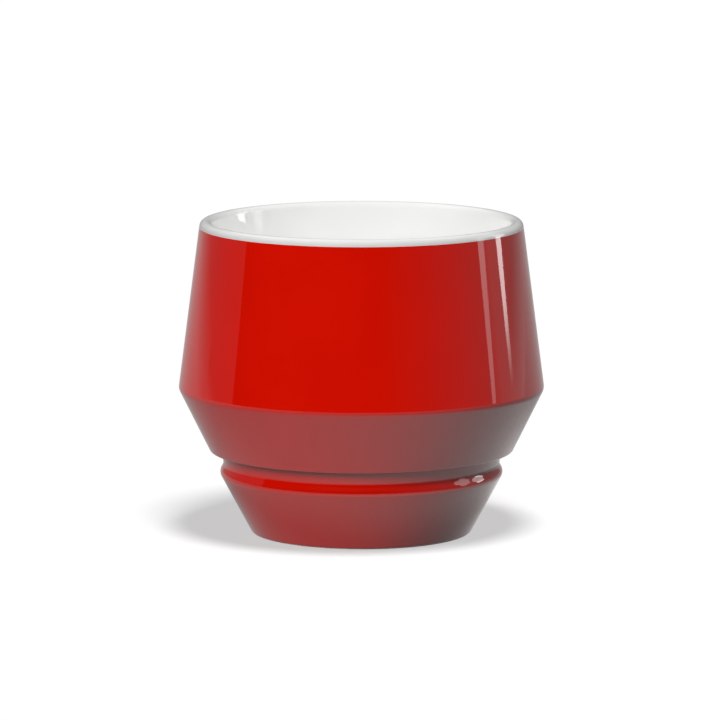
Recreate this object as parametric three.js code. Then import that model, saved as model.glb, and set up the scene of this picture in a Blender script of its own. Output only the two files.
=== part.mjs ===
// Handleless cappuccino cup in glazed porcelain, with a hollow double wall that keeps the drink warm.
// Two castings make the wall: an inner cup, whose flange ends in the rounded lip, and an outer shell with the
// belly edge, the stacking groove and the foot ring. Fired slip joins them under the glaze.
// Millimetres, +Z up. The origin is the centre of the foot ring, on the surface that the cup stands on.
import * as THREE from "three";

// Lip and straight upper wall, on the glazed surface
const CUP_HEIGHT = 74.3;
const LIP_CENTRE_RADIUS = 36.75;
const LIP_ROUND = 1.55;
const COLOUR_LINE_DROP = 1.6;

// Belly edge, shoulder and stacking groove, on the glazed surface
const BELLY_RADIUS = 43.25;
const BELLY_HEIGHT = 34.85;
const BELLY_ROUND = 2.5;
const SHOULDER_RADIUS = 35.5;
const SHOULDER_HEIGHT = 19.5;
const SHOULDER_ROUND = 0.7;
const NECK_RADIUS = 32.8;
const NECK_LEAN = 0.4;
const NECK_TOP_ROUND = 0.6;
const NECK_BOTTOM_HEIGHT = 16.55;
const BEAD_RADIUS = 33.5;
const BEAD_HEIGHT = 14.3;
const BEAD_BEND = 1.85;
const BEAD_BEND_SHARE = 0.95;

// Foot ring and the recess under the cup, where the ring is bare porcelain
const FOOT_RADIUS = 25.9;
const FOOT_ROUND = 0.5;
const FOOT_RING_WIDTH = 2.8;
const FOOT_RING_ROUND = 0.5;
const GLAZE_LIFT = 0.15;
const RECESS_DEPTH = 1.8;
const RECESS_RADIUS = 22.6;
const RECESS_ROUND = 1.2;

// Castings and glaze
const GLAZE = 0.3;
const CUP_WALL = 2.4;
const SHELL_WALL = 2.4;
const BASE_THICKNESS = 2.6;
const CUP_FLOOR_HEIGHT = 11.3;
const CUP_FLOOR_ROUND = 14;
const SHELL_BELLY_ROUND = 4;
const SHELL_NECK_ROUND = 4;

// Fit of the inner cup in the shell: the air gap at the neck, the gap behind the seat, and the slip in the joint
const NECK_AIR_GAP = 1.2;
const SEAT_GAP = 0.4;
const SLIP_THICKNESS = 0.4;

// Vent of the hollow wall and the soft plug that closes it
const VENT_RADIUS = 2.5;
const PLUG_HEAD_RADIUS = 4.5;
const PLUG_HEAD_THICKNESS = 0.8;
const PLUG_BARB_RADIUS = 3.1;
const PLUG_BARB_HEIGHT = 1.6;
const PLUG_TIP_RADIUS = 1.8;

// Facets round the axis, and steps in each rounding of a section
const FACETS = 48;
const FINE_STEPS = 3;
const EDGE_STEPS = 2;
const FLOOR_STEPS = 5;
const SAME_POINT = 1e-6;

// Directions of a section's normal, as angles from +r towards +Z
const UP = Math.PI / 2;
const DOWN = -Math.PI / 2;

const at = (r, z) => new THREE.Vector2(r, z);

// A rounding in a section: a circle whose radius is positive on an edge and negative in a hollow.
const rounding = (r, z, radius, steps) => ({ centre: at(r, z), radius, steps });

// The normal of the straight stretch from one rounding to the next.
function stretchNormal(from, to) {
  const across = to.centre.clone().sub(from.centre);
  return across.angle() + Math.acos((from.radius - to.radius) / across.length());
}

// The two ends of that stretch, when both roundings have grown by the same amount.
function stretch(from, to, growth) {
  const normal = stretchNormal(from, to);
  const direction = at(Math.cos(normal), Math.sin(normal));
  return [from, to].map((end) => end.centre.clone().addScaledVector(direction, end.radius + growth));
}

// Radius of a straight stretch at a height, and how fast it widens upwards.
const widening = ([a, b]) => (b.x - a.x) / (b.y - a.y);
const radiusAt = (line, z) => line[0].x + widening(line) * (z - line[0].y);

// Points round one rounding, from one normal to another by the shorter way.
function arcPoints({ centre, steps }, radius, from, to) {
  const sweep = THREE.MathUtils.euclideanModulo(to - from + Math.PI, 2 * Math.PI) - Math.PI;
  return Array.from({ length: steps + 1 }, (_, step) => {
    const normal = from + (sweep * step) / steps;
    return at(centre.x + radius * Math.cos(normal), centre.y + radius * Math.sin(normal));
  });
}

// A section that runs straight from rounding to rounding, with the open side on its left. Growth moves the whole
// section out of the porcelain, so one list of roundings gives both faces of a glaze.
function section(roundings, firstNormal, lastNormal, growth) {
  const between = roundings.slice(1).map((to, i) => stretchNormal(roundings[i], to));
  const normals = [firstNormal, ...between, lastNormal];
  return roundings.flatMap((one, i) => arcPoints(one, one.radius + growth, normals[i], normals[i + 1]));
}

// A falling section cut at a height, as the points above and below. The cut point belongs to both.
function cutAt(points, z) {
  const next = points.findIndex((point) => point.y < z);
  const cut = at(radiusAt([points[next - 1], points[next]], z), z);
  return [[...points.slice(0, next), cut], [cut, ...points.slice(next)]];
}

// A solid turned about the axis from its section, which starts and ends on the axis or is closed here. A lathe
// faces right of its points, so the section is turned round.
function turned(points) {
  const closed = points[0].x > 0 ? [...points, points[0]] : points;
  const distinct = closed.filter((point, i) => i === 0 || point.distanceTo(closed[i - 1]) > SAME_POINT);
  return new THREE.LatheGeometry(distinct.reverse(), FACETS).rotateX(Math.PI / 2);
}

// The groove swings out to the bead in two equal bends, a hollow one and a full one. They stay smaller than the
// bends that would use up the whole step.
const beadStep = Math.abs(BEAD_RADIUS - NECK_RADIUS);
const beadFall = NECK_BOTTOM_HEIGHT - BEAD_HEIGHT;
const widestBend = (beadStep ** 2 + beadFall ** 2) / (4 * beadStep);
const beadBend = Math.min(BEAD_BEND, BEAD_BEND_SHARE * widestBend);

// Roundings of the outside, from the lip down to the foot. The wall of the groove leans out towards the shoulder.
const lip = rounding(LIP_CENTRE_RADIUS, CUP_HEIGHT - LIP_ROUND, LIP_ROUND, FINE_STEPS);
const belly = rounding(BELLY_RADIUS - BELLY_ROUND, BELLY_HEIGHT, BELLY_ROUND, FINE_STEPS);
const shoulder = rounding(SHOULDER_RADIUS, SHOULDER_HEIGHT + SHOULDER_ROUND, SHOULDER_ROUND, EDGE_STEPS);
const neckTop = rounding(
  NECK_RADIUS + NECK_LEAN + NECK_TOP_ROUND,
  SHOULDER_HEIGHT - NECK_TOP_ROUND,
  -NECK_TOP_ROUND,
  EDGE_STEPS,
);
const neckBottom = rounding(NECK_RADIUS + beadBend, NECK_BOTTOM_HEIGHT, -beadBend, EDGE_STEPS);
const bead = rounding(BEAD_RADIUS - beadBend, BEAD_HEIGHT, beadBend, EDGE_STEPS);
const foot = rounding(FOOT_RADIUS, GLAZE_LIFT + FOOT_ROUND, FOOT_ROUND, EDGE_STEPS);
const outsideRoundings = [lip, belly, shoulder, neckTop, neckBottom, bead, foot];

// Inside of the shell at the groove, and the rounded floor of the inner cup, which clears it by the air gap
const shellNeckRadius = NECK_RADIUS - GLAZE - SHELL_WALL;
const shellNeck = rounding(
  shellNeckRadius + SHELL_NECK_ROUND,
  (SHOULDER_HEIGHT + NECK_BOTTOM_HEIGHT) / 2,
  -SHELL_NECK_ROUND,
  EDGE_STEPS,
);
const floorRoundHeight = CUP_FLOOR_HEIGHT + CUP_FLOOR_ROUND;
const neckReach = CUP_FLOOR_ROUND + GLAZE + CUP_WALL + NECK_AIR_GAP + SHELL_NECK_ROUND;
const neckRise = floorRoundHeight - shellNeck.centre.y;
const cupFloor = rounding(
  shellNeck.centre.x - Math.sqrt(neckReach ** 2 - neckRise ** 2),
  floorRoundHeight,
  -CUP_FLOOR_ROUND,
  FLOOR_STEPS,
);

// Glazed surfaces, and the porcelain under them
const insideGlazed = section([cupFloor, lip], UP, UP, 0);
const insideBody = section([cupFloor, lip], UP, UP, -GLAZE);
const outsideGlazed = section(outsideRoundings, UP, DOWN, 0);
const outsideBody = section(outsideRoundings, UP, DOWN, -GLAZE);

// The lip ends at the colour line, where white glaze meets red
const colourLine = CUP_HEIGHT - COLOUR_LINE_DROP;
const [lipGlazed, wallGlazed] = cutAt(outsideGlazed, colourLine);
const [lipBody, wallBody] = cutAt(outsideBody, colourLine);

// The flange of the inner cup seats where the two walls have closed to the seat gap
const cupOutsideWall = stretch(cupFloor, lip, -GLAZE - CUP_WALL);
const shellInsideWall = stretch(lip, belly, -GLAZE - SHELL_WALL);
const gapAtGround = radiusAt(shellInsideWall, 0) - radiusAt(cupOutsideWall, 0);
const gapGrowth = widening(shellInsideWall) - widening(cupOutsideWall);
const flangeUnderside = (SEAT_GAP - gapAtGround) / gapGrowth;
const shellTop = flangeUnderside - SLIP_THICKNESS;
const [flangeBody, belowFlange] = cutAt(wallBody, flangeUnderside);
const [jointBody, shellBody] = cutAt(belowFlange, shellTop);
const shellTopInside = at(radiusAt(shellInsideWall, shellTop), shellTop);

// Recess under the cup, from the inner edge of the bare foot ring to the vent
const ringInnerRadius = FOOT_RADIUS - FOOT_RING_WIDTH;
const ringEdge = rounding(ringInnerRadius + FOOT_RING_ROUND, FOOT_RING_ROUND, FOOT_RING_ROUND, EDGE_STEPS);
const recessCorner = rounding(
  RECESS_RADIUS - RECESS_ROUND,
  RECESS_DEPTH - RECESS_ROUND,
  -RECESS_ROUND,
  EDGE_STEPS,
);
const baseTop = RECESS_DEPTH + BASE_THICKNESS;
const baseGlazeFace = RECESS_DEPTH - GLAZE;

// Cast porcelain beaker: rounded lip, flange and tapering wall with a dished floor.
function innerCup() {
  const underside = CUP_FLOOR_HEIGHT - GLAZE - CUP_WALL;
  const outside = section([cupFloor, lip], UP, UP, -GLAZE - CUP_WALL).slice(0, FLOOR_STEPS + 1);
  const seatInside = at(radiusAt(cupOutsideWall, flangeUnderside), flangeUnderside);
  return turned([
    at(0, CUP_FLOOR_HEIGHT - GLAZE),
    ...insideBody,
    ...lipBody,
    ...flangeBody,
    seatInside,
    ...outside.reverse(),
    at(0, underside),
  ]);
}

// Cast porcelain jacket from the seat under the flange to the foot ring, with the vent hole in its base.
function outerShell() {
  const shellBelly = rounding(
    BELLY_RADIUS - GLAZE - SHELL_WALL - SHELL_BELLY_ROUND,
    BELLY_HEIGHT,
    SHELL_BELLY_ROUND,
    EDGE_STEPS,
  );
  const footInside = stretch(bead, foot, -GLAZE - SHELL_WALL);
  const seatEdge = rounding(shellTopInside.x, shellTop, 0, EDGE_STEPS);
  const floorCorner = rounding(radiusAt(footInside, baseTop), baseTop, 0, EDGE_STEPS);
  const cavity = section([seatEdge, shellBelly, shellNeck, floorCorner], UP, DOWN, 0);
  return turned([
    ...shellBody,
    at(FOOT_RADIUS, 0),
    ...section([ringEdge, recessCorner], DOWN, DOWN, 0),
    at(VENT_RADIUS, RECESS_DEPTH),
    at(VENT_RADIUS, baseTop),
    ...cavity.reverse(),
  ]);
}

// Fired slip between the flange and the top edge of the shell.
function lipJoint() {
  const flangeInside = at(radiusAt(shellInsideWall, flangeUnderside), flangeUnderside);
  return turned([...jointBody, shellTopInside, flangeInside]);
}

// White glaze over the inside and the lip.
function whiteLinerGlaze() {
  const glazed = [at(0, CUP_FLOOR_HEIGHT), ...insideGlazed, ...lipGlazed];
  const body = [at(0, CUP_FLOOR_HEIGHT - GLAZE), ...insideBody, ...lipBody];
  return turned([...glazed, ...body.reverse()]);
}

// Red glaze from the colour line to the edge of the bare foot ring.
function redOuterGlaze() {
  const body = [...flangeBody, ...jointBody, ...shellBody];
  return turned([...wallGlazed, ...body.reverse()]);
}

// White glaze in the recess, which stops on its wall above the bare foot ring.
function baseGlaze() {
  const recess = (growth) => section([ringEdge, recessCorner], DOWN, DOWN, growth).slice(EDGE_STEPS + 1);
  const glazed = [...recess(GLAZE), at(VENT_RADIUS, baseGlazeFace)];
  const body = [...recess(0), at(VENT_RADIUS, RECESS_DEPTH)];
  return turned([...glazed, ...body.reverse()]);
}

// Soft plug: a flat head under the base, a stem in the vent hole, and a barb that holds it from inside.
function ventPlug() {
  const tip = baseTop + PLUG_BARB_HEIGHT;
  const headUnderside = baseGlazeFace - PLUG_HEAD_THICKNESS;
  return turned([
    at(0, tip),
    at(PLUG_TIP_RADIUS, tip),
    at(PLUG_BARB_RADIUS, baseTop),
    at(VENT_RADIUS, baseTop),
    at(VENT_RADIUS, baseGlazeFace),
    at(PLUG_HEAD_RADIUS, baseGlazeFace),
    at(PLUG_HEAD_RADIUS, headUnderside),
    at(0, headUnderside),
  ]);
}

const finish = (color, roughness) => new THREE.MeshStandardMaterial({ color, roughness, metalness: 0 });

function piece(name, geometry, material) {
  const mesh = new THREE.Mesh(geometry, material);
  mesh.name = name;
  return mesh;
}

const cup = new THREE.Group();
cup.add(
  piece("inner_cup", innerCup(), finish(0xece9e2, 0.7)),
  piece("outer_shell", outerShell(), finish(0xece9e2, 0.7)),
  piece("lip_joint", lipJoint(), finish(0xe4e0d7, 0.8)),
  piece("white_liner_glaze", whiteLinerGlaze(), finish(0xf1f0ed, 0.12)),
  piece("red_outer_glaze", redOuterGlaze(), finish(0xc41000, 0.1)),
  piece("base_glaze", baseGlaze(), finish(0xf1f0ed, 0.15)),
  piece("vent_plug", ventPlug(), finish(0xd9d7d2, 0.6)),
);

export default cup;
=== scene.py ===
import math
from collections import namedtuple

import bpy
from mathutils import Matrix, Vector


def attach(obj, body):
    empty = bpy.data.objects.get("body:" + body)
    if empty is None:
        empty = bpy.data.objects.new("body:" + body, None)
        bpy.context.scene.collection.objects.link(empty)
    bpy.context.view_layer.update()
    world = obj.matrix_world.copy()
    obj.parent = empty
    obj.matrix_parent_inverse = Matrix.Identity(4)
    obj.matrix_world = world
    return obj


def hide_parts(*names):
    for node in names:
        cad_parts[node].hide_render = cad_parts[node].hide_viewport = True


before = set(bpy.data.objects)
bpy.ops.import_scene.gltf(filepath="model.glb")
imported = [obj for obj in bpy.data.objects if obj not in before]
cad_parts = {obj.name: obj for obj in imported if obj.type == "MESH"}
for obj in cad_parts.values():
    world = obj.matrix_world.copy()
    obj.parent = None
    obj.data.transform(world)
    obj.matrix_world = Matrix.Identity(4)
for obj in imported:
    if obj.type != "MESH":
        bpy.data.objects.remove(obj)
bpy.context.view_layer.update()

MM = 0.001

# Lip and straight upper wall, on the glazed surface
CUP_HEIGHT = 74.3
LIP_CENTRE_RADIUS = 36.75
LIP_ROUND = 1.55
COLOUR_LINE_DROP = 1.6

# Belly edge, shoulder and stacking groove, on the glazed surface
BELLY_RADIUS = 43.25
BELLY_HEIGHT = 34.85
BELLY_ROUND = 2.5
SHOULDER_RADIUS = 35.5
SHOULDER_HEIGHT = 19.5
SHOULDER_ROUND = 0.7
NECK_RADIUS = 32.8
NECK_LEAN = 0.4
NECK_TOP_ROUND = 0.6
NECK_BOTTOM_HEIGHT = 16.55
BEAD_RADIUS = 33.5
BEAD_HEIGHT = 14.3
BEAD_BEND = 1.85

# Foot ring and the recess under the cup
FOOT_RADIUS = 25.9
FOOT_ROUND = 0.5
FOOT_RING_WIDTH = 2.8
FOOT_RING_ROUND = 0.5
GLAZE_LIFT = 0.15
RECESS_DEPTH = 1.8
RECESS_RADIUS = 22.6
RECESS_ROUND = 1.2

# Castings, glaze and the fit of the inner cup in the shell
GLAZE = 0.3
CUP_WALL = 2.4
SHELL_WALL = 2.4
BASE_THICKNESS = 2.6
CUP_FLOOR_HEIGHT = 11.3
CUP_FLOOR_ROUND = 14
SHELL_BELLY_ROUND = 4
SHELL_NECK_ROUND = 4
NECK_AIR_GAP = 1.2
SEAT_GAP = 0.4
SLIP_THICKNESS = 0.4

# Soft plug in the vent of the hollow wall, with its edges eased
VENT_RADIUS = 2.5
PLUG_HEAD_RADIUS = 4.5
PLUG_HEAD_THICKNESS = 0.8
PLUG_HEAD_ROUND = 0.3
PLUG_BARB_RADIUS = 3.1
PLUG_BARB_HEIGHT = 1.6
PLUG_TIP_RADIUS = 1.8

# Fineness of the turned meshes: steps round the axis and along roundings, the narrow strips that keep the
# shading of a long straight stretch flat, the angle that stays a sharp edge, and how near two points are one
TURN_STEPS = 192
ARC_STEP = math.radians(5)
EDGE_STRIP = 0.06
LONG_STRETCH = 1.0
SHARP_ANGLE = math.radians(25)
SAME_POINT = 1e-6

# Directions of a section's normal, as angles from +r towards +Z
UP = math.pi / 2
DOWN = -math.pi / 2

# Red glaze: its mottled colours, the heights and reaches of the edges where a lighter, warmer highlight is
# painted on it, and the painted shade in the groove under the shoulder
RED_MOTTLE_WIDTH = 14
RED_MOTTLE = ((0.670, 0.0054, 0.0004), (0.690, 0.0058, 0.0005))
# Lighter, warmer red at the belly, shoulder and bead edges is a painted highlight
RED_HIGHLIGHT_EDGES = ((BELLY_HEIGHT, 1.6), (SHOULDER_HEIGHT + SHOULDER_ROUND, 0.7), (BEAD_HEIGHT, 1.0))
RED_PAINTED_HIGHLIGHT = (0.71, 0.010, 0.003)
RED_HIGHLIGHT_SHARE = 0.12
# Darker red in the groove under the shoulder is painted shade
RED_SHADE_HEIGHT = NECK_BOTTOM_HEIGHT + 1.2
RED_SHADE_REACH = 2.2
RED_PAINTED_SHADE = (0.46, 0.002, 0.0003)
RED_SHADE_SHARE = 0.04
RED_ROUGHNESS = (0.025, 0.045)
RED_IOR = 1.6

# White glaze: its mottled colours, and its darker, cooler colour towards the bottom of the cup
WHITE_MOTTLE_WIDTH = 16
WHITE_MOTTLE = ((0.766, 0.764, 0.754), (0.782, 0.780, 0.770))
# The white turns darker and cooler towards the bottom of the cup
WHITE_BOTTOM_REACH = 9.0
WHITE_BOTTOM_TINT = (0.750, 0.758, 0.754)
WHITE_BOTTOM_SHARE = 0.5
WHITE_ROUGHNESS = (0.035, 0.06)
WHITE_IOR = 1.52

# Both glazes: the width of the patches in their gloss, and the width and depth of their ripple
GLOSS_WIDTH = 6
RIPPLE_WIDTH = 18
RIPPLE_DEPTH = 0.006

# Bare fired bodies: pale and dark colour, width and depth of the grain, and the clouds and specks of both
PORCELAIN = ((0.86, 0.84, 0.80), (0.81, 0.79, 0.74), 0.12, 0.012)
SLIP = ((0.80, 0.77, 0.72), (0.75, 0.72, 0.66), 0.2, 0.02)
BODY_CLOUD_WIDTH = 5
BODY_SPECK_WIDTH = 0.35
BODY_SPECK = (0.45, 0.40, 0.33)
BODY_SPECK_SHARE = 0.35
BODY_MATT_WIDTH = 1.5
BODY_ROUGHNESS = (0.55, 0.72)

# Silicone of the plug: its clouds, satin and moulded skin, and how light spreads in it, in metres
SILICONE_CLOUD_WIDTH = 2.5
SILICONE_CLOUD = ((0.68, 0.67, 0.64), (0.73, 0.72, 0.69))
SILICONE_SATIN_WIDTH = 0.8
SILICONE_ROUGHNESS = (0.38, 0.5)
SILICONE_SKIN_WIDTH = 0.3
SILICONE_SKIN_DEPTH = 0.008
SILICONE_MILKINESS = 0.3
SILICONE_SPREAD = (0.002, 0.002, 0.0016)

# Noise of the materials: the ranges of it that an effect runs through, and its levels of detail
SOFT = (0.3, 0.7)
MOTTLED = (0.35, 0.65)
SPECKLED = (0.70, 0.78)
SMOOTH_DETAIL = 1.0
USUAL_DETAIL = 2.0
GRAIN_DETAIL = 3.0
CLOUD_DETAIL = 4.0

# Camera: the picture's frame, the point that it looks at and how it stands to the cup
PICTURE_PIXELS = 720
FOCAL_PIXELS = 5499
SENSOR_WIDTH = 36
CAMERA_DISTANCE = 1.303
CAMERA_ELEVATION = 8.57
AIM = Vector((-0.000337, 0, 0.04081))

# Lamps far away, for the white liner, the rest of the cup and the floor: azimuth to the right of the camera,
# elevation and apparent size, in degrees, and level, where 1 lights a white card to white
REST_LAMPS = {
    "key": (-32, 28.5, 30, 0.78),
    "top": (0, 80, 24, 0.62),
    "right": (75, 52, 24, 0.235),
    "back": (180, 25, 30, 0.8),
}
LINER_LAMPS = {
    "liner_front": (-10, 38, 24, 0.59),
    "liner_left": (-75, 3, 24, 0.15),
    "liner_dome": (0, 90, 150, 0.585),
}
FLOOR_LAMPS = {"shadow": (16, 71, 16, 3.01)}

# How bright the sky is for what it lights. It is white where it is seen.
SKY_LEVEL = 0.02

# Small lamps in the mouth of the cup, which light the liner across it: how far they stand from its axis,
# their height and width, in metres, and the azimuth and power of each
MOUTH_LAMP_AWAY = 0.02
MOUTH_LAMP_HEIGHT = 0.058
MOUTH_LAMP_WIDTH = 0.03
MOUTH_LAMPS = {"mouth_front": (0, 0.0037), "mouth_back": (180, 0.0055)}

# Upright sheets at the sides, which show as strips in the glaze: the azimuth of their upright edge, then
# stops of height in millimetres, width in degrees and brightness
STRIPS = {
    "left_panel": (
        -112,
        (
            (0, 27.1, 0.5),
            (24, 26.9, 0.4),
            (36, 26.8, 0.16),
            (108, 26.2, 0.16),
            (450, 16.0, 0.16),
        ),
    ),
    "dim_strip": (
        87.2,
        (
            (20, 1.6, 1.0),
            (51, 3.3, 1.5),
            (99, 5.75, 2.0),
            (140, 8.8, 2.0),
            (170, 8.8, 2.0),
            (230, 15.0, 2.0),
            (450, 19.0, 2.0),
        ),
    ),
    "bright_strip": (
        106.5,
        (
            (32, 2.6, 0.5),
            (37, 3.0, 0.8),
            (46, 3.5, 2.0),
            (54, 4.0, 3.6),
            (62, 4.5, 4.8),
            (77, 6.0, 5.4),
            (130, 11.5, 5.4),
            (165, 13.7, 5.4),
        ),
    ),
    "bright_strip_top": (106.5, ((165, 13.7, 2.7), (450, 13.7, 2.7))),
}
STRIP_DISTANCE = 0.6

# Soft box above and behind the cup, which shows as a line along the lip: its height, half its width, where it
# starts and ends behind the cup, in metres, and its brightness
SOFT_BOX_HEIGHT = 0.52
SOFT_BOX_HALF_WIDTH = 0.37
SOFT_BOX_FROM = 0.02
SOFT_BOX_TO = 0.64
SOFT_BOX_GLOW = 1.3

# Studio tent: stops of azimuth, brightness at the floor and brightness higher up, the elevation where the
# second takes over, and the elevations where the roof starts and is full, in degrees
TENT_RADIUS = 1.0
TENT_STEP = 3
TENT_GLOW = (
    (-180, 0.52, 0.25),
    (-140, 0.50, 0.25),
    (-124, 0.47, 0.17),
    (-106, 0.40, 0.16),
    (-102, 0.0, 0.0),
    (12, 0.0, 0.0),
    (42, 0.08, 0.08),
    (60, 0.155, 0.155),
    (89, 0.28, 0.28),
    (98, 0.50, 0.50),
    (108, 0.70, 0.50),
    (116, 0.72, 0.33),
    (125, 0.70, 0.31),
    (137, 0.56, 0.30),
    (150, 0.52, 0.25),
    (180, 0.52, 0.25),
)
LOW_TOP = 2.6
ROOF_STARTS = 36
ROOF_FULL = 48
ROOF_GLOW = 0.10

# Floor: how far it reaches and lies below the foot, in metres, its glow and paint where it is seen, and its
# paint for the light that it throws back on the cup
FLOOR_REACH = 6
FLOOR_DROP = 0.00005
FLOOR_GLOW = 0.57
FLOOR_WHITE = 0.152
FLOOR_BOUNCE = 0.01

# Floor in the glaze: its glow, its level under the cup, how that grows per metre along the axes and between
# which limits, and the level that it settles to further out
MIRRORED_GLOW = 0.70
MIRRORED_AT_CUP = 0.77
MIRRORED_GROWTH = (3.8, -4.0, 0)
MIRRORED_RANGE = (0.45, 1.2)
SETTLES_FROM = 0.05
SETTLES_TO = 0.13
SETTLED_LEVEL = 0.45

Rounding = namedtuple("Rounding", "r z radius")


# The normal of the straight stretch from one rounding to the next. A rounding's radius is positive on an edge
# and negative in a hollow, and the open side is on the left.
def stretch_normal(start, end):
    across_r = end.r - start.r
    across_z = end.z - start.z
    lean = math.acos((start.radius - end.radius) / math.hypot(across_r, across_z))
    return math.atan2(across_z, across_r) + lean


# The point of a rounding that faces along a normal, when the section has grown out of the porcelain.
def touch(one, normal, growth):
    reach = one.radius + growth
    return one.r + reach * math.cos(normal), one.z + reach * math.sin(normal)


def stretch(start, end, growth):
    normal = stretch_normal(start, end)
    return touch(start, normal, growth), touch(end, normal, growth)


def widening(line):
    (r1, z1), (r2, z2) = line
    return (r2 - r1) / (z2 - z1)


def radius_at(line, z):
    return line[0][0] + widening(line) * (z - line[0][1])


def arc(one, start, end, growth):
    sweep = (end - start + math.pi) % (2 * math.pi) - math.pi
    steps = max(1, math.ceil(abs(sweep) / ARC_STEP))
    return [touch(one, start + sweep * step / steps, growth) for step in range(steps + 1)]


def section(roundings, first_normal, last_normal, growth):
    between = [stretch_normal(start, end) for start, end in zip(roundings, roundings[1:])]
    normals = [first_normal, *between, last_normal]
    arcs = [arc(one, normals[i], normals[i + 1], growth) for i, one in enumerate(roundings)]
    return [point for points in arcs for point in points]


# A falling section cut at a height, as the points above and below. The cut point belongs to both.
def cut_at(points, z):
    below = next(i for i, point in enumerate(points) if point[1] < z)
    cut = (radius_at((points[below - 1], points[below]), z), z)
    return [*points[:below], cut], [cut, *points[below:]]


# The same section without repeated points, and with a narrow strip at each end of a long stretch.
def stripped(points):
    made = [points[0]]
    for (r1, z1), (r2, z2) in zip(points, points[1:]):
        length = math.hypot(r2 - r1, z2 - z1)
        if length < SAME_POINT:
            continue
        if length > LONG_STRETCH:
            for share in (EDGE_STRIP / length, 1 - EDGE_STRIP / length):
                made.append((r1 + (r2 - r1) * share, z1 + (z2 - z1) * share))
        made.append((r2, z2))
    return made


# The vertices of points turned about the axis, and the row of vertices that each point gives. A point on the
# axis gives the same vertex all the way round.
def turned_rows(points):
    turns = [2 * math.pi * step / TURN_STEPS for step in range(TURN_STEPS)]
    vertices = []
    rows = []
    for r, z in points:
        first = len(vertices)
        if r < SAME_POINT:
            vertices.append((0, 0, z * MM))
            rows.append([first] * TURN_STEPS)
        else:
            vertices += [(r * MM * math.cos(turn), r * MM * math.sin(turn), z * MM) for turn in turns]
            rows.append(list(range(first, first + TURN_STEPS)))
    return vertices, rows


def faces_between(rows):
    faces = []
    for here, there in zip(rows, rows[1:]):
        for step in range(TURN_STEPS):
            after = (step + 1) % TURN_STEPS
            corners = (here[step], there[step], there[after], here[after])
            faces.append(tuple(dict.fromkeys(corners)))
    return faces


# A solid turned about the axis from a section that starts and ends on the axis or is closed here.
def turned(name, points):
    closed = points[0][0] > SAME_POINT
    outline = stripped([*points, points[0]] if closed else points)
    vertices, rows = turned_rows(outline[:-1] if closed else outline)
    if closed:
        rows.append(rows[0])
    mesh = bpy.data.meshes.new(name)
    mesh.from_pydata(vertices, [], faces_between(rows))
    mesh.shade_smooth()
    mesh.set_sharp_from_angle(angle=SHARP_ANGLE)
    return mesh


# Roundings of the outside, from the lip down to the foot. The groove's wall leans out towards the shoulder.
lip = Rounding(LIP_CENTRE_RADIUS, CUP_HEIGHT - LIP_ROUND, LIP_ROUND)
belly = Rounding(BELLY_RADIUS - BELLY_ROUND, BELLY_HEIGHT, BELLY_ROUND)
shoulder = Rounding(SHOULDER_RADIUS, SHOULDER_HEIGHT + SHOULDER_ROUND, SHOULDER_ROUND)
neck_top = Rounding(
    NECK_RADIUS + NECK_LEAN + NECK_TOP_ROUND, SHOULDER_HEIGHT - NECK_TOP_ROUND, -NECK_TOP_ROUND
)
neck_bottom = Rounding(NECK_RADIUS + BEAD_BEND, NECK_BOTTOM_HEIGHT, -BEAD_BEND)
bead = Rounding(BEAD_RADIUS - BEAD_BEND, BEAD_HEIGHT, BEAD_BEND)
foot = Rounding(FOOT_RADIUS, GLAZE_LIFT + FOOT_ROUND, FOOT_ROUND)
OUTSIDE = (lip, belly, shoulder, neck_top, neck_bottom, bead, foot)

# Inside of the shell at the groove, and the rounded floor of the inner cup, which clears it by the air gap
shell_neck = Rounding(
    NECK_RADIUS - GLAZE - SHELL_WALL + SHELL_NECK_ROUND,
    (SHOULDER_HEIGHT + NECK_BOTTOM_HEIGHT) / 2,
    -SHELL_NECK_ROUND,
)
neck_reach = CUP_FLOOR_ROUND + GLAZE + CUP_WALL + NECK_AIR_GAP + SHELL_NECK_ROUND
neck_rise = CUP_FLOOR_HEIGHT + CUP_FLOOR_ROUND - shell_neck.z
cup_floor = Rounding(
    shell_neck.r - math.sqrt(neck_reach ** 2 - neck_rise ** 2),
    CUP_FLOOR_HEIGHT + CUP_FLOOR_ROUND,
    -CUP_FLOOR_ROUND,
)
INSIDE = (cup_floor, lip)

# Glazed surfaces and the porcelain under them, parted where white glaze meets red
colour_line = CUP_HEIGHT - COLOUR_LINE_DROP
inside_glazed = section(INSIDE, UP, UP, 0)
inside_body = section(INSIDE, UP, UP, -GLAZE)
lip_glazed, wall_glazed = cut_at(section(OUTSIDE, UP, DOWN, 0), colour_line)
lip_body, wall_body = cut_at(section(OUTSIDE, UP, DOWN, -GLAZE), colour_line)

# The flange of the inner cup seats where the two walls have closed to the seat gap
cup_outside_wall = stretch(cup_floor, lip, -GLAZE - CUP_WALL)
shell_inside_wall = stretch(lip, belly, -GLAZE - SHELL_WALL)
gap_at_ground = radius_at(shell_inside_wall, 0) - radius_at(cup_outside_wall, 0)
gap_growth = widening(shell_inside_wall) - widening(cup_outside_wall)
flange_underside = (SEAT_GAP - gap_at_ground) / gap_growth
shell_top = flange_underside - SLIP_THICKNESS
flange_body, below_flange = cut_at(wall_body, flange_underside)
joint_body, shell_body = cut_at(below_flange, shell_top)
shell_top_inside = (radius_at(shell_inside_wall, shell_top), shell_top)

# Recess under the cup, from the inner edge of the bare foot ring to the vent
ring_edge = Rounding(FOOT_RADIUS - FOOT_RING_WIDTH + FOOT_RING_ROUND, FOOT_RING_ROUND, FOOT_RING_ROUND)
recess_corner = Rounding(RECESS_RADIUS - RECESS_ROUND, RECESS_DEPTH - RECESS_ROUND, -RECESS_ROUND)
recess_normal = stretch_normal(ring_edge, recess_corner)
base_top = RECESS_DEPTH + BASE_THICKNESS
base_glaze_face = RECESS_DEPTH - GLAZE


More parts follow.
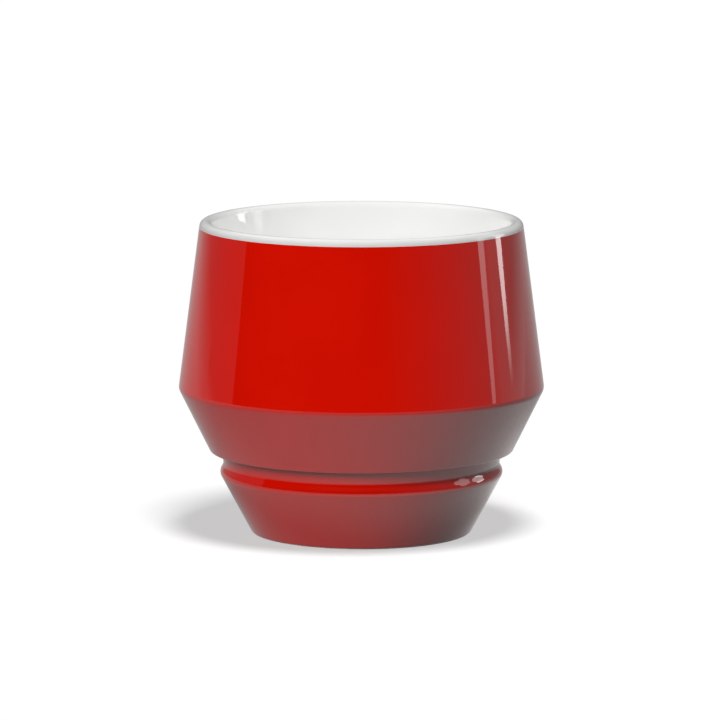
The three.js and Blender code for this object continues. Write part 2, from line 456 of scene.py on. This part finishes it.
def inner_cup_section():
    underside = (0, CUP_FLOOR_HEIGHT - GLAZE - CUP_WALL)
    dish = arc(cup_floor, UP, stretch_normal(cup_floor, lip), -GLAZE - CUP_WALL)
    seat_inside = (radius_at(cup_outside_wall, flange_underside), flange_underside)
    drink_side = [(0, CUP_FLOOR_HEIGHT - GLAZE), *inside_body, *lip_body]
    return [*drink_side, *flange_body, seat_inside, *reversed(dish), underside]


def outer_shell_section():
    shell_belly = Rounding(
        BELLY_RADIUS - GLAZE - SHELL_WALL - SHELL_BELLY_ROUND, BELLY_HEIGHT, SHELL_BELLY_ROUND
    )
    foot_inside = stretch(bead, foot, -GLAZE - SHELL_WALL)
    seat_edge = Rounding(*shell_top_inside, 0)
    floor_corner = Rounding(radius_at(foot_inside, base_top), base_top, 0)
    cavity = section((seat_edge, shell_belly, shell_neck, floor_corner), UP, DOWN, 0)
    recess = section((ring_edge, recess_corner), DOWN, DOWN, 0)
    vent = [(VENT_RADIUS, RECESS_DEPTH), (VENT_RADIUS, base_top)]
    return [*shell_body, (FOOT_RADIUS, 0), *recess, *vent, *reversed(cavity)]


def lip_joint_section():
    flange_inside = (radius_at(shell_inside_wall, flange_underside), flange_underside)
    return [*joint_body, shell_top_inside, flange_inside]


def white_liner_glaze_section():
    glazed = [(0, CUP_FLOOR_HEIGHT), *inside_glazed, *lip_glazed]
    body = [(0, CUP_FLOOR_HEIGHT - GLAZE), *inside_body, *lip_body]
    return [*glazed, *reversed(body)]


def red_outer_glaze_section():
    body = [*flange_body, *joint_body, *shell_body]
    return [*wall_glazed, *reversed(body)]


def base_glaze_section():
    glazed = [*arc(recess_corner, recess_normal, DOWN, GLAZE), (VENT_RADIUS, base_glaze_face)]
    body = [*arc(recess_corner, recess_normal, DOWN, 0), (VENT_RADIUS, RECESS_DEPTH)]
    return [*glazed, *reversed(body)]


def vent_plug_section():
    tip = base_top + PLUG_BARB_HEIGHT
    head_underside = base_glaze_face - PLUG_HEAD_THICKNESS
    eased_edge = Rounding(
        PLUG_HEAD_RADIUS - PLUG_HEAD_ROUND, head_underside + PLUG_HEAD_ROUND, PLUG_HEAD_ROUND
    )
    return [
        (0, tip),
        (PLUG_TIP_RADIUS, tip),
        (PLUG_BARB_RADIUS, base_top),
        (VENT_RADIUS, base_top),
        (VENT_RADIUS, base_glaze_face),
        (PLUG_HEAD_RADIUS, base_glaze_face),
        *arc(eased_edge, 0, DOWN, 0),
        (0, head_underside),
    ]


# A shader node with its settings, and with its inputs set to values or joined to other nodes' outputs.
def node(tree, kind, inputs=(), **settings):
    made = tree.nodes.new(kind)
    for name, value in settings.items():
        setattr(made, name, value)
    for name, value in dict(inputs).items():
        if isinstance(value, bpy.types.NodeSocket):
            tree.links.new(value, made.inputs[name])
        else:
            made.inputs[name].default_value = value
    return made


def math_node(tree, operation, first, second=0.0):
    return node(tree, "ShaderNodeMath", {0: first, 1: second}, operation=operation).outputs[0]


def place(tree):
    return node(tree, "ShaderNodeTexCoord").outputs["Object"]


# Noise between 0 and 1 whose features are about as wide as given, in millimetres.
def noise(tree, width, detail=USUAL_DETAIL):
    inputs = {"Vector": place(tree), "Scale": 1 / (width * MM), "Detail": detail}
    return node(tree, "ShaderNodeTexNoise", inputs).outputs["Fac"]


# A value spread from one range over another, without going past its ends.
def spread(tree, value, low, high, low_to, high_to):
    inputs = {"Value": value, "From Min": low, "From Max": high, "To Min": low_to, "To Max": high_to}
    return node(tree, "ShaderNodeMapRange", inputs, interpolation_type="SMOOTHSTEP").outputs[0]


def blend(tree, share, first, second):
    mix = node(tree, "ShaderNodeMix", {"Factor": share}, data_type="RGBA")
    for name, value in (("A", first), ("B", second)):
        socket = next(one for one in mix.inputs if one.name == name and one.type == "RGBA")
        if isinstance(value, bpy.types.NodeSocket):
            tree.links.new(value, socket)
        else:
            socket.default_value = (*value, 1)
    return next(one for one in mix.outputs if one.type == "RGBA")


# A noise turned into values: the first below its range, the last above it, and those between within it.
def patches(tree, width, noise_range, values=(0.0, 1.0), detail=USUAL_DETAIL):
    return spread(tree, noise(tree, width, detail), *noise_range, *values)


# 1 at a height of the cup, in millimetres, fading to 0 at the reach above and below it.
def near_height(tree, height, reach):
    up = node(tree, "ShaderNodeSeparateXYZ", {"Vector": place(tree)}).outputs["Z"]
    away = math_node(tree, "ABSOLUTE", math_node(tree, "SUBTRACT", up, height * MM))
    return spread(tree, away, 0.0, reach * MM, 1.0, 0.0)


# A colour that turns towards another around a height of the cup.
def tinted(tree, colour, tint, height, reach, share):
    amount = math_node(tree, "MULTIPLY", near_height(tree, height, reach), share)
    return blend(tree, amount, colour, tint)


# Relief from a noise, given its width and depth in millimetres.
def relief(tree, width, depth, detail):
    inputs = {"Height": noise(tree, width, detail), "Distance": depth * MM, "Strength": 1.0}
    return node(tree, "ShaderNodeBump", inputs).outputs["Normal"]


def shader_of(name):
    material = bpy.data.materials.new(name)
    material.use_nodes = True
    return material, material.node_tree, material.node_tree.nodes["Principled BSDF"]


def join(tree, shader, **sockets):
    for name, socket in sockets.items():
        tree.links.new(socket, shader.inputs[name.replace("_", " ")])


# The gloss of a glaze, in faint patches, and its faint ripple.
def give_gloss(tree, shader, colour, roughness, ior):
    gloss = patches(tree, GLOSS_WIDTH, SOFT, roughness)
    ripple = relief(tree, RIPPLE_WIDTH, RIPPLE_DEPTH, SMOOTH_DETAIL)
    join(tree, shader, Base_Color=colour, Roughness=gloss, Normal=ripple)
    shader.inputs["IOR"].default_value = ior


# Red gloss glaze: a painted highlight, lighter and warmer, on its edges, and painted shade, a deeper red, in
# the groove under the shoulder.
def red_glaze():
    material, tree, shader = shader_of("red_glaze")
    colour = blend(tree, patches(tree, RED_MOTTLE_WIDTH, MOTTLED), *RED_MOTTLE)
    # Painted highlight: lighter, warmer red along the belly, shoulder and bead edges
    for height, reach in RED_HIGHLIGHT_EDGES:
        colour = tinted(tree, colour, RED_PAINTED_HIGHLIGHT, height, reach, RED_HIGHLIGHT_SHARE)
    # Painted shade: darker red in the groove under the shoulder
    colour = tinted(tree, colour, RED_PAINTED_SHADE, RED_SHADE_HEIGHT, RED_SHADE_REACH, RED_SHADE_SHARE)
    give_gloss(tree, shader, colour, RED_ROUGHNESS, RED_IOR)
    return material


# White gloss glaze: a little darker and cooler towards the bottom of the cup.
def white_glaze():
    material, tree, shader = shader_of("white_glaze")
    colour = blend(tree, patches(tree, WHITE_MOTTLE_WIDTH, MOTTLED), *WHITE_MOTTLE)
    # Darker, cooler white towards the bottom of the cup
    colour = tinted(tree, colour, WHITE_BOTTOM_TINT, CUP_FLOOR_HEIGHT, WHITE_BOTTOM_REACH, WHITE_BOTTOM_SHARE)
    give_gloss(tree, shader, colour, WHITE_ROUGHNESS, WHITE_IOR)
    return material


# Bare fired body: a fine matt grain with a few faint specks.
def bare_body(name, pale, dark, grain_width, grain_depth):
    material, tree, shader = shader_of(name)
    colour = blend(tree, patches(tree, BODY_CLOUD_WIDTH, SOFT, detail=CLOUD_DETAIL), dark, pale)
    specks = patches(tree, BODY_SPECK_WIDTH, SPECKLED, (0.0, BODY_SPECK_SHARE), SMOOTH_DETAIL)
    colour = blend(tree, specks, colour, BODY_SPECK)
    matt = patches(tree, BODY_MATT_WIDTH, SOFT, BODY_ROUGHNESS)
    grain = relief(tree, grain_width, grain_depth, GRAIN_DETAIL)
    join(tree, shader, Base_Color=colour, Roughness=matt, Normal=grain)
    return material


# Milky satin silicone with a soft moulded skin.
def silicone():
    material, tree, shader = shader_of("silicone")
    colour = blend(tree, patches(tree, SILICONE_CLOUD_WIDTH, SOFT), *SILICONE_CLOUD)
    satin = patches(tree, SILICONE_SATIN_WIDTH, SOFT, SILICONE_ROUGHNESS)
    skin = relief(tree, SILICONE_SKIN_WIDTH, SILICONE_SKIN_DEPTH, USUAL_DETAIL)
    join(tree, shader, Base_Color=colour, Roughness=satin, Normal=skin)
    shader.inputs["Subsurface Weight"].default_value = SILICONE_MILKINESS
    shader.inputs["Subsurface Radius"].default_value = SILICONE_SPREAD
    return material


def show(name, data):
    made = bpy.data.objects.new(name, data)
    bpy.context.scene.collection.objects.link(made)
    return made


# Turns a piece, paints it and puts it in the place of its node.
def dress(node_name, points, material):
    piece = show(node_name + "_turned", turned(node_name + "_turned", points))
    piece.data.materials.append(material)
    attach(piece, "root")
    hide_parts(node_name)
    return piece


def make_cup():
    porcelain = bare_body("porcelain", *PORCELAIN)
    slip = bare_body("slip", *SLIP)
    white = white_glaze()
    liner = dress("white_liner_glaze", white_liner_glaze_section(), white)
    rest = [
        dress("inner_cup", inner_cup_section(), porcelain),
        dress("outer_shell", outer_shell_section(), porcelain),
        dress("lip_joint", lip_joint_section(), slip),
        dress("red_outer_glaze", red_outer_glaze_section(), red_glaze()),
        dress("base_glaze", base_glaze_section(), white),
        dress("vent_plug", vent_plug_section(), silicone()),
    ]
    return liner, rest


# Direction from the cup at an azimuth to the right of the camera and an elevation, in degrees.
def direction(azimuth, elevation):
    turn, rise = math.radians(azimuth), math.radians(elevation)
    return Vector((math.sin(turn) * math.cos(rise), -math.cos(turn) * math.cos(rise), math.sin(rise)))


# Makes a lamp light some objects only, and keeps it out of the glaze.
def show_lamp(name, data, facing, lit):
    lamp = show(name, data)
    lamp.rotation_euler = facing.to_track_quat("-Z", "Y").to_euler()
    lamp.visible_camera = False
    lamp.visible_glossy = False
    receivers = bpy.data.collections.new("lit_by_" + name)
    for one in lit:
        receivers.objects.link(one)
    lamp.light_linking.receiver_collection = receivers
    return lamp


def soft_lamps(settings, lit):
    for name, (azimuth, elevation, apparent_size, level) in settings.items():
        data = bpy.data.lights.new(name, "SUN")
        data.energy = level * math.pi
        data.angle = math.radians(apparent_size)
        show_lamp(name, data, -direction(azimuth, elevation), lit)


def mouth_lamps(liner):
    for name, (azimuth, power) in MOUTH_LAMPS.items():
        data = bpy.data.lights.new(name, "AREA")
        data.shape = "DISK"
        data.size = MOUTH_LAMP_WIDTH
        data.energy = power
        outwards = direction(azimuth, 0)
        lamp = show_lamp(name, data, -outwards, [liner])
        lamp.location = outwards * MOUTH_LAMP_AWAY + Vector((0, 0, MOUTH_LAMP_HEIGHT))


def make_lamps(liner, rest, floor):
    soft_lamps(REST_LAMPS, rest)
    soft_lamps(LINER_LAMPS, [liner])
    mouth_lamps(liner)
    soft_lamps(FLOOR_LAMPS, [floor])


# 1 for rays from the camera, mirrored or passed on, and 0 for those that light other things.
def seen(tree):
    path = node(tree, "ShaderNodeLightPath").outputs
    mirrored = math_node(tree, "MAXIMUM", path["Is Glossy Ray"], path["Is Transmission Ray"])
    return math_node(tree, "MAXIMUM", path["Is Camera Ray"], mirrored)


def make_sky():
    world = bpy.data.worlds.new("white_studio")
    world.use_nodes = True
    tree = world.node_tree
    level = spread(tree, seen(tree), 0.0, 1.0, SKY_LEVEL, 1.0)
    background = tree.nodes["Background"]
    background.inputs["Color"].default_value = (1, 1, 1, 1)
    tree.links.new(level, background.inputs["Strength"])
    bpy.context.scene.world = world


def choose(tree, share, first, second):
    return node(tree, "ShaderNodeMix", {"Factor": share, "A": first, "B": second}).outputs["Result"]


# How bright the floor is in the glaze: palest in front of the cup on the right, and even further out.
def mirrored_level(tree):
    here = place(tree)
    growth = node(tree, "ShaderNodeVectorMath", {0: here, 1: MIRRORED_GROWTH}, operation="DOT_PRODUCT")
    level = math_node(tree, "ADD", growth.outputs["Value"], MIRRORED_AT_CUP)
    low, high = MIRRORED_RANGE
    level = math_node(tree, "MINIMUM", math_node(tree, "MAXIMUM", level, low), high)
    away = node(tree, "ShaderNodeVectorMath", {0: here}, operation="LENGTH").outputs["Value"]
    return choose(tree, spread(tree, away, SETTLES_FROM, SETTLES_TO, 0.0, 1.0), level, SETTLED_LEVEL)


def floor_material():
    material, tree, shader = shader_of("white_floor")
    tree.nodes.remove(shader)
    camera_ray = node(tree, "ShaderNodeLightPath").outputs["Is Camera Ray"]
    level = choose(tree, camera_ray, mirrored_level(tree), 1.0)
    glow_level = math_node(tree, "MULTIPLY", level, choose(tree, camera_ray, MIRRORED_GLOW, FLOOR_GLOW))
    pale = node(tree, "ShaderNodeBsdfDiffuse", {"Color": math_node(tree, "MULTIPLY", level, FLOOR_WHITE)})
    glow = node(tree, "ShaderNodeEmission", {"Strength": glow_level})
    white = node(tree, "ShaderNodeAddShader", {0: pale.outputs[0], 1: glow.outputs[0]})
    dim = node(tree, "ShaderNodeBsdfDiffuse", {"Color": (FLOOR_BOUNCE, FLOOR_BOUNCE, FLOOR_BOUNCE, 1)})
    mix = node(tree, "ShaderNodeMixShader", {0: seen(tree), 1: dim.outputs[0], 2: white.outputs[0]})
    tree.links.new(mix.outputs[0], tree.nodes["Material Output"].inputs["Surface"])
    return material


def make_floor():
    sides = (-FLOOR_REACH, FLOOR_REACH)
    corners = [(x, y, -FLOOR_DROP) for x in sides for y in sides]
    mesh = bpy.data.meshes.new("floor")
    mesh.from_pydata(corners, [], [(0, 2, 3, 1)])
    mesh.materials.append(floor_material())
    floor = show("floor", mesh)
    return floor


# A sheet that shows in the glaze with the brightness of its corners. It lights nothing, and the camera
# doesn't see it.
def reflected_sheet(name, corners, faces, glows):
    mesh = bpy.data.meshes.new(name)
    mesh.from_pydata(corners, [], faces)
    mesh.attributes.new("glow", "FLOAT", "POINT").data.foreach_set("value", glows)
    material, tree, shader = shader_of(name)
    tree.nodes.remove(shader)
    strength = node(tree, "ShaderNodeAttribute", attribute_name="glow").outputs["Fac"]
    light = node(tree, "ShaderNodeEmission", {"Strength": strength})
    tree.links.new(light.outputs[0], tree.nodes["Material Output"].inputs["Surface"])
    mesh.materials.append(material)
    sheet = show(name, mesh)
    sheet.visible_camera = False
    sheet.visible_diffuse = False
    sheet.visible_shadow = False


def make_strips():
    for name, (azimuth, stops) in STRIPS.items():
        corners = []
        glows = []
        for height, width, brightness in stops:
            for edge in (azimuth, azimuth + width):
                corners.append(direction(edge, 0) * STRIP_DISTANCE + Vector((0, 0, height * MM)))
                glows.append(brightness)
        faces = [(i, i + 1, i + 3, i + 2) for i in range(0, len(corners) - 2, 2)]
        reflected_sheet(name, corners, faces, glows)


def make_soft_box():
    half = SOFT_BOX_HALF_WIDTH
    places = ((-half, SOFT_BOX_FROM), (half, SOFT_BOX_FROM), (half, SOFT_BOX_TO), (-half, SOFT_BOX_TO))
    corners = [(x, y, SOFT_BOX_HEIGHT) for x, y in places]
    reflected_sheet("soft_box", corners, [(0, 1, 2, 3)], [SOFT_BOX_GLOW] * len(corners))


# Brightness of the tent in a direction, between the stops of its list and paling into its roof.
def tent_glow(azimuth, elevation):
    stops = zip(TENT_GLOW, TENT_GLOW[1:])
    start, end = next(pair for pair in stops if azimuth <= pair[1][0])
    share = (azimuth - start[0]) / (end[0] - start[0])
    at_floor, side = (first + (last - first) * share for first, last in zip(start[1:], end[1:]))
    side += (at_floor - side) * max(0.0, 1 - elevation / LOW_TOP)
    roof = min(1.0, max(0.0, (elevation - ROOF_STARTS) / (ROOF_FULL - ROOF_STARTS)))
    return side + (ROOF_GLOW - side) * roof


def make_tent():
    azimuths = sorted({stop[0] for stop in TENT_GLOW} | set(range(-180, 180, TENT_STEP)))
    elevations = [0, LOW_TOP, *range(TENT_STEP, 91, TENT_STEP)]
    corners = []
    glows = []
    for elevation in elevations:
        for azimuth in azimuths:
            corners.append(direction(azimuth, elevation) * TENT_RADIUS)
            glows.append(tent_glow(azimuth, elevation))
    count = len(azimuths)
    faces = []
    for row in range(0, len(corners) - count, count):
        faces += [(row + i, row + i + 1, row + count + i + 1, row + count + i) for i in range(count - 1)]
    reflected_sheet("tent", corners, faces, glows)


def make_camera():
    data = bpy.data.cameras.new("camera")
    data.sensor_width = SENSOR_WIDTH
    data.lens = FOCAL_PIXELS / PICTURE_PIXELS * SENSOR_WIDTH
    camera = show("camera", data)
    backwards = direction(0, CAMERA_ELEVATION)
    camera.location = AIM + backwards * CAMERA_DISTANCE
    camera.rotation_euler = (-backwards).to_track_quat("-Z", "Y").to_euler()
    bpy.context.scene.camera = camera


make_lamps(*make_cup(), make_floor())
make_sky()
make_strips()
make_soft_box()
make_tent()
make_camera()
bpy.context.scene.view_settings.view_transform = "Standard"
